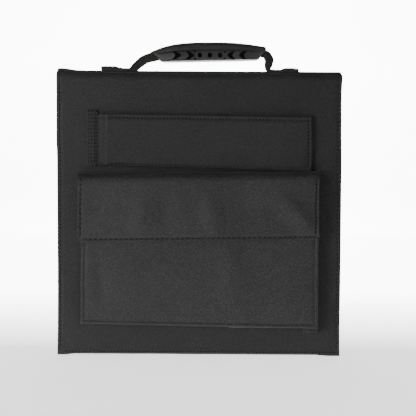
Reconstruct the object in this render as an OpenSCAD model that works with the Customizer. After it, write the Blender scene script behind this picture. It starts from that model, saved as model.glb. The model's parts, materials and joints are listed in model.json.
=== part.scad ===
// Folding solar suitcase kit: four cloth-covered solar leaves folded like a fan,
// a carrying handle on the top fold, a hinged prop and a lidded pocket on the front.
// Frame: +Z up, -Y towards the front, origin under the middle of the folded case.

/* [Case] */
// Width of the folded case, along the fold lines
case_w = 280; // [276:1:300]
// Height of the folded case, up to the top fold
case_h = 282; // [280:1:300]
// Thickness of one leaf, cloth included
leaf_t = 5; // [5:0.1:6]
// Free gap between two folded leaves
leaf_gap = 1; // [1:0.1:2]
// Thickness of the cloth skins
cloth_t = 0.8; // [0.6:0.1:0.9]

/* [Solar cells] */
// Side of one solar cell
cell_side = 124; // [110:1:124]
// Distance between the middles of two cells
cell_pitch = 127; // [125:1:127]
// Chamfer across each cell corner
cell_corner = 12; // [4:1:20]

/* [Pocket] */
// Left edge of the pocket, from the middle of the case
pocket_left = -120; // [-125:1:-115]
// Right edge of the pocket
pocket_right = 119; // [112:1:125]
// Lower edge of the pocket above the ground
pocket_low = 28; // [24:1:40]
// Upper edge of the pocket
pocket_top = 181; // [178:0.5:181]
// Depth of the pocket body
pocket_d = 16; // [15:0.5:24]
// Height of the mouth's lower lip
mouth_z = 150; // [135:1:160]
// Lower edge of the hanging lid
lid_low = 112.5; // [100:0.5:114]
// Thickness of the lid
lid_t = 2.1; // [1.8:0.1:2.4]

/* [Prop] */
// Left edge of the sewn root of the prop
prop_root_x = -111; // [-115:1:-106]
// Place of the prop's hinge line
prop_hinge_x = -99; // [-100:0.5:-97]
// Free end of the prop
prop_end_x = 113.7; // [105:0.1:120]
// Lower edge of the prop
prop_low = 185.5; // [185.5:0.5:190]
// Upper edge of the prop
prop_top = 239; // [230:1:245]
// Thickness of the prop, cloth included
prop_t = 3.2; // [3.2:0.1:3.6]

/* [Handle] */
// Left end of the moulded grip
grip_left = -50; // [-52:1:-48]
// Right end of the moulded grip
grip_right = 66; // [65:1:68]
// Height of the grip's crest above the ground
grip_crest = 311.2; // [310:0.1:314]
// Depth of the grip, front to back
grip_d = 20; // [16:1:20]
// Thickness of the folded handle webbing
strap_t = 4.4; // [4:0.1:4.4]

/* [Controller] */
// Width of the charge controller
ctrl_w = 74; // [60:1:80]
// Height of the charge controller
ctrl_h = 42; // [38:1:50]
// Bore radius of the cable gland
gland_r = 2.5; // [2:0.1:3]

/* [Hidden] */
$fn = 48;

// Hook-and-loop strips and the slit between two bodies that must not rub
pile_t = 0.8;
slit = 0.3;

// Front to back: the lid and pocket stand in front of the first leaf
leaf_pitch = leaf_t + leaf_gap;
pack_t = 4 * leaf_t + 3 * leaf_gap;
front_stack = pocket_d + 2 * pile_t + slit + lid_t;
y_front = (front_stack - pack_t) / 2;
leaf_y = [for (i = [0:3]) y_front + leaf_t / 2 + i * leaf_pitch];

// Folds: a round cord of cloth lies on each fold line
fold_r = 1.5;
fold_clear = 2.2;
top_fold_z = case_h - fold_r;
low_fold_z = fold_r;
leaf_top = top_fold_z - fold_clear;
folded_low = low_fold_z + fold_clear;
fold_w = case_w - 8;
strip_y = (leaf_y[0] + leaf_y[1]) / 2;
lower_fold_y = (leaf_y[1] + leaf_y[2]) / 2;
rear_fold_y = (leaf_y[2] + leaf_y[3]) / 2;

// Inside of a leaf: board, laminate and cells, seen through a window in one skin
cell_z = case_h / 2;
cavity_side = 2 * cell_pitch + 15;
board_side = cavity_side - 2;
laminate_side = cavity_side - 4;
window_side = 2 * cell_pitch + 3;
laminate_t = 1.2;
cell_t = 0.3;
cavity_t = leaf_t - 2 * cloth_t;
board_t = cavity_t - laminate_t;

// Pocket
wall_t = 1.5;
lid_top_t = 2.5;
pocket_face_y = y_front - pocket_d;
lid_y = y_front - front_stack + lid_t / 2;
lid_hinge_z = pocket_top - 1.5;
lid_barrel_r = lid_t / 2;
pile_low = lid_low + 5;
pile_h = 10;
pile_inset = 12;

// Prop: it hangs clear of the first leaf by the height of its hook-and-loop patch
prop_off = 2.2;
prop_y = y_front - prop_off - prop_t / 2;
prop_root_t = 1.5;
prop_barrel_r = 1.3;
stiffener_t = prop_t - 2 * cloth_t;
patch_x = 88;
patch_w = 22;
patch_z = 200;
patch_h = 25;
patch_loop_t = 1;
patch_hook_t = prop_off - patch_loop_t - slit;

// Handle: its webbing ends turn on a line above the top fold
handle_z = case_h + 2;
handle_barrel_r = 1.7;
anchor_t = 3;
anchor_w = 6;
grip_low_left = [-40, 293.3];
grip_low_right = [64, 295.7];
crest_x = 20;
crest_drop = 0.00206;
core_left = [-40.5, 297.6];
core_right = [61.5, 300.6];
core_h = 6.4;
core_play = 0.6;
// Middle line and width of each webbing end, as [x, z, width]
strap_left = [
    [-65, 286.5, 6.5], [-62, 289.3, 7.8], [-57, 292.6, 8.6],
    [-50.5, 295.8, 8], [-46, 297.1, 6.6], [-41, 297.6, 6.4]
];
strap_right = [
    [62, 300.6, 6.4], [65.5, 300.4, 6.8], [68.3, 298, 7.6], [69.4, 294.2, 7.8],
    [69, 290, 7], [68.7, 287, 6], [68.7, 285.2, 5.4]
];

// Charge controller, standing on the pocket's floor
ctrl_x = 30;
ctrl_z = pocket_low + wall_t;
ctrl_gap = 1.3;
ctrl_d = 12;
ctrl_y = y_front - ctrl_gap - ctrl_d / 2;
ctrl_wall = 2;
circuit_t = 1.6;
screw_inset = 6;
screw_r = 1.2;
gland_h = 12;
gland_wall = 2.2;

black_cloth = "#2c2c2e";
black_webbing = "#232325";
black_rubber = "#39393b";
black_plastic = "#1d1d1f";

// ---- shared shapes ----

// Block from one low corner to one high corner
module block(low, high) {
    translate(low) cube(high - low);
}

// Rod along X from x1 to x2
module rod_x(x1, x2, y, z, r) {
    translate([x1, y, z]) rotate([0, 90, 0]) cylinder(h = x2 - x1, r = r);
}

// Puts a leaf's own shape in its place; every second leaf faces the other way
module at_leaf(i) {
    translate([0, leaf_y[i], 0])
        if (i % 2 == 1) mirror([0, 1, 0]) children();
        else children();
}

// Upright square plate of one leaf, between two depths in the leaf
module leaf_plate(side, y1, y2) {
    block([-side / 2, y1, cell_z - side / 2], [side / 2, y2, cell_z + side / 2]);
}

// Cloth sleeve of one leaf, with the window on its cell side
module leaf_sleeve(i, low) {
    at_leaf(i) difference() {
        block([-case_w / 2, -leaf_t / 2, low], [case_w / 2, leaf_t / 2, leaf_top]);
        leaf_plate(cavity_side, -cavity_t / 2, cavity_t / 2);
        leaf_plate(window_side, 0, leaf_t);
    }
}

module leaf_board(i) {
    at_leaf(i) leaf_plate(board_side, -cavity_t / 2, -cavity_t / 2 + board_t);
}

// The four cells of a leaf, square with cut corners
module cell_tiles(y1, y2) {
    c = cell_side / 2;
    k = c - cell_corner;
    outline = [[-k, -c], [k, -c], [c, -k], [c, k], [k, c], [-k, c], [-c, k], [-c, -k]];
    for (sx = [-1, 1], sz = [-1, 1])
        translate([sx * cell_pitch / 2, y2, cell_z + sz * cell_pitch / 2])
            rotate([90, 0, 0]) linear_extrude(height = y2 - y1) polygon(outline);
}

module leaf_laminate(i) {
    at_leaf(i) difference() {
        leaf_plate(laminate_side, cavity_t / 2 - laminate_t, cavity_t / 2);
        cell_tiles(cavity_t / 2 - cell_t, cavity_t / 2 + 1);
    }
}

module leaf_cells(i) {
    at_leaf(i) cell_tiles(cavity_t / 2 - cell_t, cavity_t / 2);
}

// Points down one side of a ribbon that follows a middle line of [x, z, width]
function ribbon_side(p, i, s) =
    let (
        a = p[max(i - 1, 0)],
        b = p[min(i + 1, len(p) - 1)],
        d = [b[0] - a[0], b[1] - a[1]],
        n = [-d[1], d[0]] / norm(d)
    )
    [p[i][0] + s * n[0] * p[i][2] / 2, p[i][1] + s * n[1] * p[i][2] / 2];

function ribbon(p) = concat(
    [for (i = [0:len(p) - 1]) ribbon_side(p, i, 1)],
    [for (i = [len(p) - 1:-1:0]) ribbon_side(p, i, -1)]
);

// An X-Z outline given a thickness about the middle of the handle
module upright(outline, t) {
    translate([0, strip_y + t / 2, 0])
        rotate([90, 0, 0]) linear_extrude(height = t) polygon(outline);
}

// A straight webbing run through the grip, h high and t thick, from a to b
module core_run(a, b, h, t) {
    upright([
        [a[0], a[1] - h / 2], [b[0], b[1] - h / 2],
        [b[0], b[1] + h / 2], [a[0], a[1] + h / 2]
    ], t);
}

// ---- leaves ----

module front_leaf_sleeve() { color(black_cloth) leaf_sleeve(0, 0); }
module front_leaf_board() { color("#6f6a5c") leaf_board(0); }
module front_leaf_laminate() { color("#31343c") leaf_laminate(0); }
module front_leaf_cells() { color("#1a2440") leaf_cells(0); }

module second_leaf_sleeve() { color(black_cloth) leaf_sleeve(1, folded_low); }
module second_leaf_board() { color("#6f6a5c") leaf_board(1); }
module second_leaf_laminate() { color("#31343c") leaf_laminate(1); }
module second_leaf_cells() { color("#1a2440") leaf_cells(1); }

module third_leaf_sleeve() { color(black_cloth) leaf_sleeve(2, folded_low); }
module third_leaf_board() { color("#6f6a5c") leaf_board(2); }
module third_leaf_laminate() { color("#31343c") leaf_laminate(2); }
module third_leaf_cells() { color("#1a2440") leaf_cells(2); }

module rear_leaf_sleeve() { color(black_cloth) leaf_sleeve(3, 0); }
module rear_leaf_board() { color("#6f6a5c") leaf_board(3); }
module rear_leaf_laminate() { color("#31343c") leaf_laminate(3); }
module rear_leaf_cells() { color("#1a2440") leaf_cells(3); }

// ---- folds ----

// Cloth strip over the top, a fold line along each long edge; it carries the handle
module top_fold_strip() {
    color(black_cloth) union() {
        for (i = [0, 1]) rod_x(-fold_w / 2, fold_w / 2, leaf_y[i], top_fold_z, fold_r);
        block([-fold_w / 2, leaf_y[0], top_fold_z - fold_r],
              [fold_w / 2, leaf_y[1], top_fold_z + fold_r]);
    }
}

// Corded fold between the second and third leaves, with a web up to the third
module lower_fold_piping() {
    color(black_cloth) union() {
        rod_x(-fold_w / 2, fold_w / 2, lower_fold_y, low_fold_z, fold_r);
        block([-fold_w / 2, lower_fold_y + leaf_gap / 2, low_fold_z],
              [fold_w / 2, lower_fold_y + leaf_gap / 2 + cloth_t, folded_low]);
    }
}

// Corded fold between the third and rear leaves, with a web down to the third
module rear_fold_piping() {
    color(black_cloth) union() {
        rod_x(-fold_w / 2, fold_w / 2, rear_fold_y, top_fold_z, fold_r);
        block([-fold_w / 2, rear_fold_y - leaf_gap / 2 - cloth_t, leaf_top],
              [fold_w / 2, rear_fold_y - leaf_gap / 2, top_fold_z]);
    }
}

// ---- pocket and lid ----

// Five-sided pocket sewn to the front leaf; its mouth is under the lid
module pocket_body() {
    inner_x1 = pocket_left + wall_t;
    inner_x2 = pocket_right - wall_t;
    roof = pocket_top - lid_top_t;
    color(black_cloth) difference() {
        block([pocket_left, pocket_face_y, pocket_low], [pocket_right, y_front, roof]);
        block([inner_x1, pocket_face_y + wall_t, pocket_low + wall_t],
              [inner_x2, y_front + 1, roof + 1]);
        block([inner_x1, pocket_face_y - 1, mouth_z],
              [inner_x2, pocket_face_y + 2 * wall_t, roof + 1]);
    }
}

module pocket_loop_strip() {
    color(black_webbing)
        block([pocket_left + pile_inset, pocket_face_y - pile_t, pile_low],
              [pocket_right - pile_inset, pocket_face_y, pile_low + pile_h]);
}

// Fixed cloth roof of the pocket; the lid hangs from its front edge
module lid_top_strip() {
    color(black_cloth)
        block([pocket_left, lid_y + lid_barrel_r + slit, pocket_top - lid_top_t],
              [pocket_right, y_front, pocket_top]);
}

module lid_flap() {
    color(black_cloth) union() {
        rod_x(pocket_left, pocket_right, lid_y, lid_hinge_z, lid_barrel_r);
        block([pocket_left, lid_y - lid_t / 2, lid_low],
              [pocket_right, lid_y + lid_t / 2, lid_hinge_z]);
    }
}

module lid_hook_strip() {
    color(black_webbing)
        block([pocket_left + pile_inset, lid_y + lid_t / 2, pile_low],
              [pocket_right - pile_inset, lid_y + lid_t / 2 + pile_t, pile_low + pile_h]);
}

// ---- prop ----

module prop_root_band() {
    color(black_cloth)
        block([prop_root_x, y_front - prop_root_t, prop_low + 1.5],
              [prop_hinge_x - 1.5, y_front, prop_top + 4]);
}

// Stiff cloth leaf with a closed slot for its stiffener and a round hinge edge
module prop_sleeve() {
    color(black_cloth) union() {
        translate([prop_hinge_x, prop_y, prop_low + 2])
            cylinder(h = prop_top - prop_low - 4, r = prop_barrel_r);
        difference() {
            block([prop_hinge_x, prop_y - prop_t / 2, prop_low],
                  [prop_end_x, prop_y + prop_t / 2, prop_top]);
            block([prop_hinge_x + 4, prop_y - stiffener_t / 2, prop_low + 3],
                  [prop_end_x - 3, prop_y + stiffener_t / 2, prop_top - 3]);
        }
    }
}

module prop_stiffener() {
    color("#6f6a5c")
        block([prop_hinge_x + 5, prop_y - stiffener_t / 2, prop_low + 4],
              [prop_end_x - 4, prop_y + stiffener_t / 2, prop_top - 4]);
}

module prop_hook_patch() {
    color(black_webbing)
        block([patch_x, prop_y + prop_t / 2, patch_z],
              [patch_x + patch_w, prop_y + prop_t / 2 + patch_hook_t, patch_z + patch_h]);
}

module prop_loop_patch() {
    color(black_webbing)
        block([patch_x, y_front - patch_loop_t, patch_z],
              [patch_x + patch_w, y_front, patch_z + patch_h]);
}

// ---- handle ----

module handle_grip() {
    crest = [for (x = [grip_left:(grip_right - grip_left) / 16:grip_right + 0.01])
        [x, grip_crest - crest_drop * pow(x - crest_x, 2)]];
    outline = concat([grip_low_left, grip_low_right], [for (i = [16:-1:0]) crest[i]]);
    color(black_rubber) difference() {
        upright(outline, grip_d);
        core_run(core_left, core_right, core_h + core_play, strap_t + core_play);
        upright(ribbon(strap_left), strap_t + core_play);
        upright(ribbon(strap_right), strap_t + core_play);
    }
}

module handle_core() {
    color(black_webbing) core_run(core_left, core_right, core_h, strap_t);
}

// Webbing end with the round edge that it turns on
module handle_strap(route, x1, x2) {
    color(black_webbing) union() {
        upright(ribbon(route), strap_t);
        rod_x(x1, x2, strip_y, handle_z, handle_barrel_r);
    }
}

module handle_strap_left() { handle_strap(strap_left, -69, -61); }
module handle_strap_right() { handle_strap(strap_right, 66, 71.4); }

// Flat webbing tail sewn on the top fold strip
module handle_anchor(x1, x2) {
    color(black_webbing)
        block([x1, strip_y - anchor_w / 2, case_h],
              [x2, strip_y + anchor_w / 2, case_h + anchor_t]);
}

module handle_anchor_left() { handle_anchor(-97, -69.8); }
module handle_anchor_right() { handle_anchor(72.2, 99); }

// ---- charge controller ----

// One half of the box, open towards the other half; s is +1 for the back half
module controller_half(s) {
    y_out = s * ctrl_d / 2;
    translate([ctrl_x, ctrl_y, ctrl_z]) difference() {
        block([0, min(0, y_out), 0], [ctrl_w, max(0, y_out), ctrl_h]);
        block([ctrl_wall, min(-0.01 * s, y_out - s * ctrl_wall), ctrl_wall],
              [ctrl_w - ctrl_wall, max(-0.01 * s, y_out - s * ctrl_wall), ctrl_h - ctrl_wall]);
    }
}

// Runs its child at the four screw places of the controller
module at_screws() {
    for (x = [screw_inset, ctrl_w - screw_inset], z = [screw_inset, ctrl_h - screw_inset])
        translate([ctrl_x + x, ctrl_y, ctrl_z + z]) children();
}

module controller_back() {
    color(black_plastic) difference() {
        union() {
            controller_half(1);
            at_screws() rotate([-90, 0, 0]) cylinder(h = ctrl_d / 2 - 1, r = 2.6);
        }
        at_screws() rotate([-90, 0, 0]) translate([0, 0, -1]) cylinder(h = 5, r = screw_r);
    }
}

module controller_front() {
    color(black_plastic) difference() {
        controller_half(-1);
        at_screws() rotate([90, 0, 0]) cylinder(h = ctrl_d, r = screw_r + 0.2);
        translate([ctrl_x + ctrl_w / 2, ctrl_y, ctrl_z + ctrl_h / 2])
            rotate([90, 0, 0]) cylinder(h = ctrl_d, r = 2);
    }
}

// Circuit board, held on the four screw posts
module controller_circuit() {
    color("#1f5a35") difference() {
        block([ctrl_x + ctrl_wall + 0.5, ctrl_y - circuit_t, ctrl_z + ctrl_wall + 0.5],
              [ctrl_x + ctrl_w - ctrl_wall - 0.5, ctrl_y, ctrl_z + ctrl_h - ctrl_wall - 0.5]);
        at_screws() rotate([90, 0, 0]) translate([0, 0, -1]) cylinder(h = 5, r = screw_r + 0.2);
    }
}

module controller_screws() {
    color("#8b8c90") at_screws() {
        rotate([90, 0, 0]) translate([0, 0, -3.9]) cylinder(h = ctrl_d / 2 + 3.9, r = screw_r);
        rotate([90, 0, 0]) translate([0, 0, ctrl_d / 2]) cylinder(h = 0.8, r = 2.2);
    }
}

// Gland for the output lead, standing on the controller's top edge
module controller_gland() {
    color(black_plastic) translate([ctrl_x + 16, ctrl_y, ctrl_z + ctrl_h]) difference() {
        union() {
            cylinder(h = gland_h, r = gland_r + gland_wall);
            translate([0, 0, 2]) cylinder(h = 5, r = gland_r + gland_wall + 0.9, $fn = 6);
        }
        translate([0, 0, 2]) cylinder(h = gland_h, r = gland_r);
    }
}

module controller_lamp() {
    color("#b8e0b0")
        translate([ctrl_x + ctrl_w / 2, ctrl_y - ctrl_d / 2 + ctrl_wall, ctrl_z + ctrl_h / 2])
            rotate([90, 0, 0]) cylinder(h = ctrl_wall + 0.4, r = 2);
}

front_leaf_sleeve();
front_leaf_board();
front_leaf_laminate();
front_leaf_cells();
second_leaf_sleeve();
second_leaf_board();
second_leaf_laminate();
second_leaf_cells();
third_leaf_sleeve();
third_leaf_board();
third_leaf_laminate();
third_leaf_cells();
rear_leaf_sleeve();
rear_leaf_board();
rear_leaf_laminate();
rear_leaf_cells();
top_fold_strip();
lower_fold_piping();
rear_fold_piping();
pocket_body();
pocket_loop_strip();
lid_top_strip();
lid_flap();
lid_hook_strip();
prop_root_band();
prop_sleeve();
prop_stiffener();
prop_hook_patch();
prop_loop_patch();
handle_grip();
handle_core();
handle_strap_left();
handle_strap_right();
handle_anchor_left();
handle_anchor_right();
controller_back();
controller_front();
controller_circuit();
controller_screws();
controller_gland();
controller_lamp();
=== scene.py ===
"""Folding solar suitcase kit: cloth-covered leaves, folds, pocket, lid, prop and carrying handle."""

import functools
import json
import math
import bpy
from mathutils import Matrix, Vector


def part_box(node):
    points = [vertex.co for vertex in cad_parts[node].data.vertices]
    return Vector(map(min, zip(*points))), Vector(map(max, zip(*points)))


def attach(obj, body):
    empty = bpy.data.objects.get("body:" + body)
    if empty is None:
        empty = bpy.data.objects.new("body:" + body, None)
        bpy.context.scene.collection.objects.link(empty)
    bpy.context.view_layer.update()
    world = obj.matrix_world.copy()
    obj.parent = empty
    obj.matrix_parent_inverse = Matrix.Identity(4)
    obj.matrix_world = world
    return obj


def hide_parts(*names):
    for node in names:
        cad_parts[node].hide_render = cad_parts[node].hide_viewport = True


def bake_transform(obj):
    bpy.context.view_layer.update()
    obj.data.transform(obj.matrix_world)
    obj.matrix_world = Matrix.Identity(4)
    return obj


bl_info = {
    "name": "Solar suitcase kit",
    "version": (1, 0, 0),
    "blender": (4, 5, 0),
    "location": "View3D > Sidebar > Solar case",
    "description": "Dresses the folded solar case in sewn cloth, webbing and moulded rubber",
    "category": "Object",
}

import bmesh
import bpy
from bpy.props import FloatProperty, FloatVectorProperty, PointerProperty
from mathutils import Matrix, Vector, noise

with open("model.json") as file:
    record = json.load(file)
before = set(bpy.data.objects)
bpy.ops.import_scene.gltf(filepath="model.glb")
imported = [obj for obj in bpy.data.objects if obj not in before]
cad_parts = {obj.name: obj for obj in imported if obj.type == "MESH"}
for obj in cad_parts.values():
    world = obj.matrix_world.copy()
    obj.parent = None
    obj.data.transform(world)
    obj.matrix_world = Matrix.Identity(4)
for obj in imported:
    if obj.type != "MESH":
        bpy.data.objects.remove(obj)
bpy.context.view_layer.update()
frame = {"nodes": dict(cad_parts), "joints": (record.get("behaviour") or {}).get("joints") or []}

MM = 0.001
# each leaf's body, whether its cells face the front, whether it has a lip over the fold, its waviness
LEAVES = {"front": ("root", False, True, 1.0), "second": ("second_leaf", True, True, 0.5),
          "third": ("third_leaf", False, False, 0.5), "rear": ("rear_leaf", True, False, 1.0)}


# ---------------------------------------------------------------- sizes read from the frame

def node_mm(node):
    """Low and high corner of a node's box, in millimetres."""
    low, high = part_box(node)
    return low / MM, high / MM


def hinge_mm(joint):
    """Place of a hinge line, in millimetres."""
    found = next(j for j in frame["joints"] if j["name"] == joint)
    return Vector(found["pos_m"]) / MM


LEAF_LOW, LEAF_HIGH = node_mm("front_leaf_sleeve")
HALF_W = LEAF_HIGH.x
LEAF_T = LEAF_HIGH.y - LEAF_LOW.y
FRONT_Y = LEAF_LOW.y
TOP_FOLD = hinge_mm("top_fold_turn")
SECOND_FOLD = hinge_mm("second_leaf_turn")
LOWER_FOLD = hinge_mm("third_leaf_turn")
REAR_FOLD = hinge_mm("rear_leaf_turn")
STRIP_Y = (TOP_FOLD.y + SECOND_FOLD.y) / 2
CASE_H = node_mm("top_fold_strip")[1].z
CELL_GAP = 3.0
CELL_LOW, CELL_HIGH = node_mm("front_leaf_cells")
CELL_PITCH = (CELL_HIGH.x - CELL_LOW.x + CELL_GAP) / 2
BARS_PER_CELL = 3


# ---------------------------------------------------------------- settings a user may change

class CaseSettings(bpy.types.PropertyGroup):
    """Sizes and colours of the sewn case"""

    cloth_colour: FloatVectorProperty(
        name="Cloth", description="Base colour of the coated cloth",
        default=(0.0098, 0.0097, 0.0102), size=3, min=0, max=1, subtype="COLOR")
    webbing_colour: FloatVectorProperty(
        name="Webbing", description="Base colour of the handle's webbing",
        default=(0.0130, 0.0134, 0.0115), size=3, min=0, max=1, subtype="COLOR")
    rubber_colour: FloatVectorProperty(
        name="Rubber", description="Base colour of the moulded grip",
        default=(0.0140, 0.0138, 0.0138), size=3, min=0, max=1, subtype="COLOR")
    thread_colour: FloatVectorProperty(
        name="Thread", description="Base colour of the sewing thread",
        default=(0.0120, 0.0120, 0.0124), size=3, min=0, max=1, subtype="COLOR")
    weave_pitch: FloatProperty(
        name="Weave pitch", description="Distance between two threads of the cloth",
        default=0.9 * MM, min=0.3 * MM, max=2 * MM, unit="LENGTH")
    corner_ear: FloatProperty(
        name="Corner ear", description="How far the top left corner of the fold stands up",
        default=2.2 * MM, min=0, max=4 * MM, unit="LENGTH")
    hem_rise: FloatProperty(
        name="Hem rise", description="How far the lower hem is drawn up between its stiff corners",
        default=2.3 * MM, min=0, max=5 * MM, unit="LENGTH")
    cloth_wave: FloatProperty(
        name="Cloth wave", description="Height of the slow waves in the cloth over the boards",
        default=0.35 * MM, min=0, max=2 * MM, unit="LENGTH")
    stitch_pitch: FloatProperty(
        name="Stitch pitch", description="Distance between two stitches",
        default=3.4 * MM, min=2 * MM, max=6 * MM, unit="LENGTH")
    stitch_length: FloatProperty(
        name="Stitch length", description="Length of thread that shows in one stitch",
        default=2.5 * MM, min=1 * MM, max=5 * MM, unit="LENGTH")
    pocket_bulge: FloatProperty(
        name="Pocket bulge", description="How far the pocket's face swells",
        default=1.5 * MM, min=0, max=6 * MM, unit="LENGTH")
    prop_droop: FloatProperty(
        name="Prop droop", description="How far the prop hangs down from level",
        default=math.radians(0.65), min=0, max=math.radians(3), unit="ROTATION")


def settings():
    """The sizes and colours in use."""
    return bpy.context.scene.solar_case


# ---------------------------------------------------------------- shader helpers

def new_node(tree, kind, inputs=None, **options):
    """Adds a node; an input may be a value or another node's output."""
    node = tree.nodes.new(kind)
    for key, value in options.items():
        setattr(node, key, value)
    for key, value in (inputs or {}).items():
        if isinstance(value, bpy.types.NodeSocket):
            tree.links.new(value, node.inputs[key])
        else:
            node.inputs[key].default_value = value
    return node


def new_finish(name, **uniform):
    """A material with one Principled shader and its even values, and its Object coordinates."""
    material = bpy.data.materials.new(name)
    material.use_nodes = True
    tree = material.node_tree
    shader = tree.nodes["Principled BSDF"]
    for key, value in uniform.items():
        shader.inputs[key.replace("_", " ")].default_value = value
    return material, tree, shader, new_node(tree, "ShaderNodeTexCoord").outputs["Object"]


def sum_of(tree, a, b, operation="ADD"):
    """Adds two values, or joins them by another operation."""
    return new_node(tree, "ShaderNodeMath", {0: a, 1: b}, operation=operation).outputs[0]


def bands(tree, coord, pitch, direction):
    """Even ridges across one direction, one for each pitch."""
    wave = new_node(tree, "ShaderNodeTexWave",
                    {"Vector": coord, "Scale": math.tau / (20 * pitch), "Detail": 0.0},
                    wave_type="BANDS", bands_direction=direction)
    return wave.outputs["Fac"]


def grain(tree, coord, size, detail=2.0, rough=0.5):
    """Even noise with spots of about this size."""
    turned = new_node(tree, "ShaderNodeMapping", {"Vector": coord, "Rotation": (0.6, 0.35, 0.2)})
    node = new_node(tree, "ShaderNodeTexNoise", {"Vector": turned.outputs["Vector"], "Scale": 1 / size,
                                                 "Detail": detail, "Roughness": rough})
    return node.outputs["Fac"]


def ramp(tree, fac, stops):
    """Colour ramp from a list of (place, (r, g, b))."""
    node = new_node(tree, "ShaderNodeValToRGB", {"Fac": fac})
    points = node.color_ramp.elements
    while len(points) < len(stops):
        points.new(0.5)
    for point, (place, colour) in zip(points, stops):
        point.position = place
        point.color = (*colour, 1)
    return node.outputs["Color"]


def graded(tree, value, first, last, start, end):
    """Runs from start to end while a value goes from first to last."""
    limits = {"Value": value, "From Min": first, "From Max": last, "To Min": start, "To Max": end}
    return new_node(tree, "ShaderNodeMapRange", limits).outputs["Result"]


def tint(tree, shader, fac, stops):
    """Gives a shader its base colour from a ramp."""
    tree.links.new(ramp(tree, fac, stops), shader.inputs["Base Color"])


def shade(colour, factor):
    """The same colour, darker or lighter."""
    return tuple(min(1, c * factor) for c in colour)


def mixed(tree, fac, a, b, blend_type="MIX"):
    """Mixes two colours."""
    node = new_node(tree, "ShaderNodeMix", {0: fac, 6: a, 7: b},
                    data_type="RGBA", blend_type=blend_type)
    return node.outputs[2]


def bumps(tree, shader, layers):
    """Stacks bump layers of (height, strength, distance) on a shader's normal."""
    normal = None
    for height, strength, distance in layers:
        inputs = {"Height": height, "Strength": strength, "Distance": distance}
        if normal:
            inputs["Normal"] = normal
        normal = new_node(tree, "ShaderNodeBump", inputs).outputs["Normal"]
    tree.links.new(normal, shader.inputs["Normal"])


# ---------------------------------------------------------------- finishes, each made once

def grained_finish(name, tone, stops, relief, **uniform):
    """A finish coloured by one grain, with relief from others; a grain is its size in mm and its detail."""
    made, tree, shader, place = new_finish(name, **uniform)

    def spots(size, *detail):
        return grain(tree, place, size * MM, *detail)

    tint(tree, shader, spots(*tone), stops)
    bumps(tree, shader, [(spots(*size), strength, depth * MM) for size, strength, depth in relief])
    return made


@functools.cache
def cloth_finish(name="coated_cloth", lift=1.0):
    """Coated plain-weave polyester: thread grain, slow fading and fine creases."""
    made, tree, shader, place = new_finish(
        name, Roughness=0.62, Sheen_Weight=0.04, Sheen_Roughness=0.45, Specular_IOR_Level=0.22)
    colour = shade(settings().cloth_colour, lift)
    pitch = settings().weave_pitch
    weave = sum_of(tree, sum_of(tree, bands(tree, place, pitch, "X"), bands(tree, place, pitch, "Z")),
                   bands(tree, place, pitch, "Y"))
    speck = grain(tree, place, 1.1 * pitch, 2, 0.7)
    fade = grain(tree, place, 70 * MM, 3, 0.55)
    crease = grain(tree, place, 26 * MM, 3, 0.5)
    thread = ramp(tree, speck, [(0.32, shade(colour, 0.30)), (0.50, colour), (0.70, shade(colour, 2.7))])
    worn = ramp(tree, fade, [(0.3, (0.80, 0.80, 0.80)), (0.7, (1, 1, 1))])
    tree.links.new(mixed(tree, 1.0, thread, worn, "MULTIPLY"), shader.inputs["Base Color"])
    tree.links.new(graded(tree, speck, 0, 1, 0.52, 0.74), shader.inputs["Roughness"])
    bumps(tree, shader, [(crease, 0.25, 0.6 * MM), (weave, 0.5, 0.10 * MM), (speck, 0.35, 0.12 * MM)])
    return made


@functools.cache
def webbing_finish():
    """Ribbed webbing: ribs across its length and a thread grain, on its own UV map."""
    made, tree, shader, place = new_finish(
        "ribbed_webbing", Roughness=0.78, Sheen_Weight=0.05, Sheen_Roughness=0.5, Specular_IOR_Level=0.15)
    colour = tuple(settings().webbing_colour)
    uv = new_node(tree, "ShaderNodeTexCoord").outputs["UV"]
    ribs = bands(tree, uv, 1.9 * MM, "X")
    yarn = bands(tree, uv, 1.1 * MM, "Y")
    fuzz = grain(tree, place, 0.8 * MM, 3, 0.7)
    tint(tree, shader, sum_of(tree, sum_of(tree, ribs, fuzz), 0.5, "MULTIPLY"),
         [(0.25, shade(colour, 0.5)), (0.6, colour), (0.85, shade(colour, 1.7))])
    bumps(tree, shader, [(ribs, 0.8, 0.35 * MM), (yarn, 0.5, 0.15 * MM), (fuzz, 0.4, 0.15 * MM)])
    return made


@functools.cache
def thread_finish():
    """Waxed sewing thread with a slight twist."""
    colour, twist = settings().thread_colour, (0.5, 2)
    return grained_finish("sewing_thread", twist, [(0.3, shade(colour, 0.6)), (0.7, shade(colour, 1.4))],
                          [(twist, 0.4, 0.1)], Roughness=0.6, Specular_IOR_Level=0.25)


@functools.cache
def pile_finish():
    """Hook-and-loop pile: short matted fibres."""
    tuft, mat = (0.9, 4, 0.8), (6, 2)
    tones = [(0.3, (0.006, 0.006, 0.007)), (0.55, (0.022, 0.022, 0.024)), (0.8, (0.07, 0.07, 0.073))]
    return grained_finish("hook_and_loop_pile", tuft, tones, [(mat, 0.4, 0.4), (tuft, 1.0, 0.5)],
                          Roughness=0.95, Sheen_Weight=0.5, Sheen_Roughness=0.6)


@functools.cache
def rubber_finish():
    """Moulded soft rubber with a satin skin and faint handling marks."""
    made, tree, shader, place = new_finish(
        "moulded_rubber", Roughness=0.5, Specular_IOR_Level=0.3)
    colour = tuple(settings().rubber_colour)
    skin = grain(tree, place, 0.6 * MM, 3, 0.6)
    marks = grain(tree, place, 11 * MM, 4, 0.6)
    tint(tree, shader, marks, [(0.3, shade(colour, 0.78)), (0.7, shade(colour, 1.2))])
    tree.links.new(graded(tree, marks, 0, 1, 0.42, 0.62), shader.inputs["Roughness"])
    bumps(tree, shader, [(skin, 0.3, 0.08 * MM)])
    return made


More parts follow.
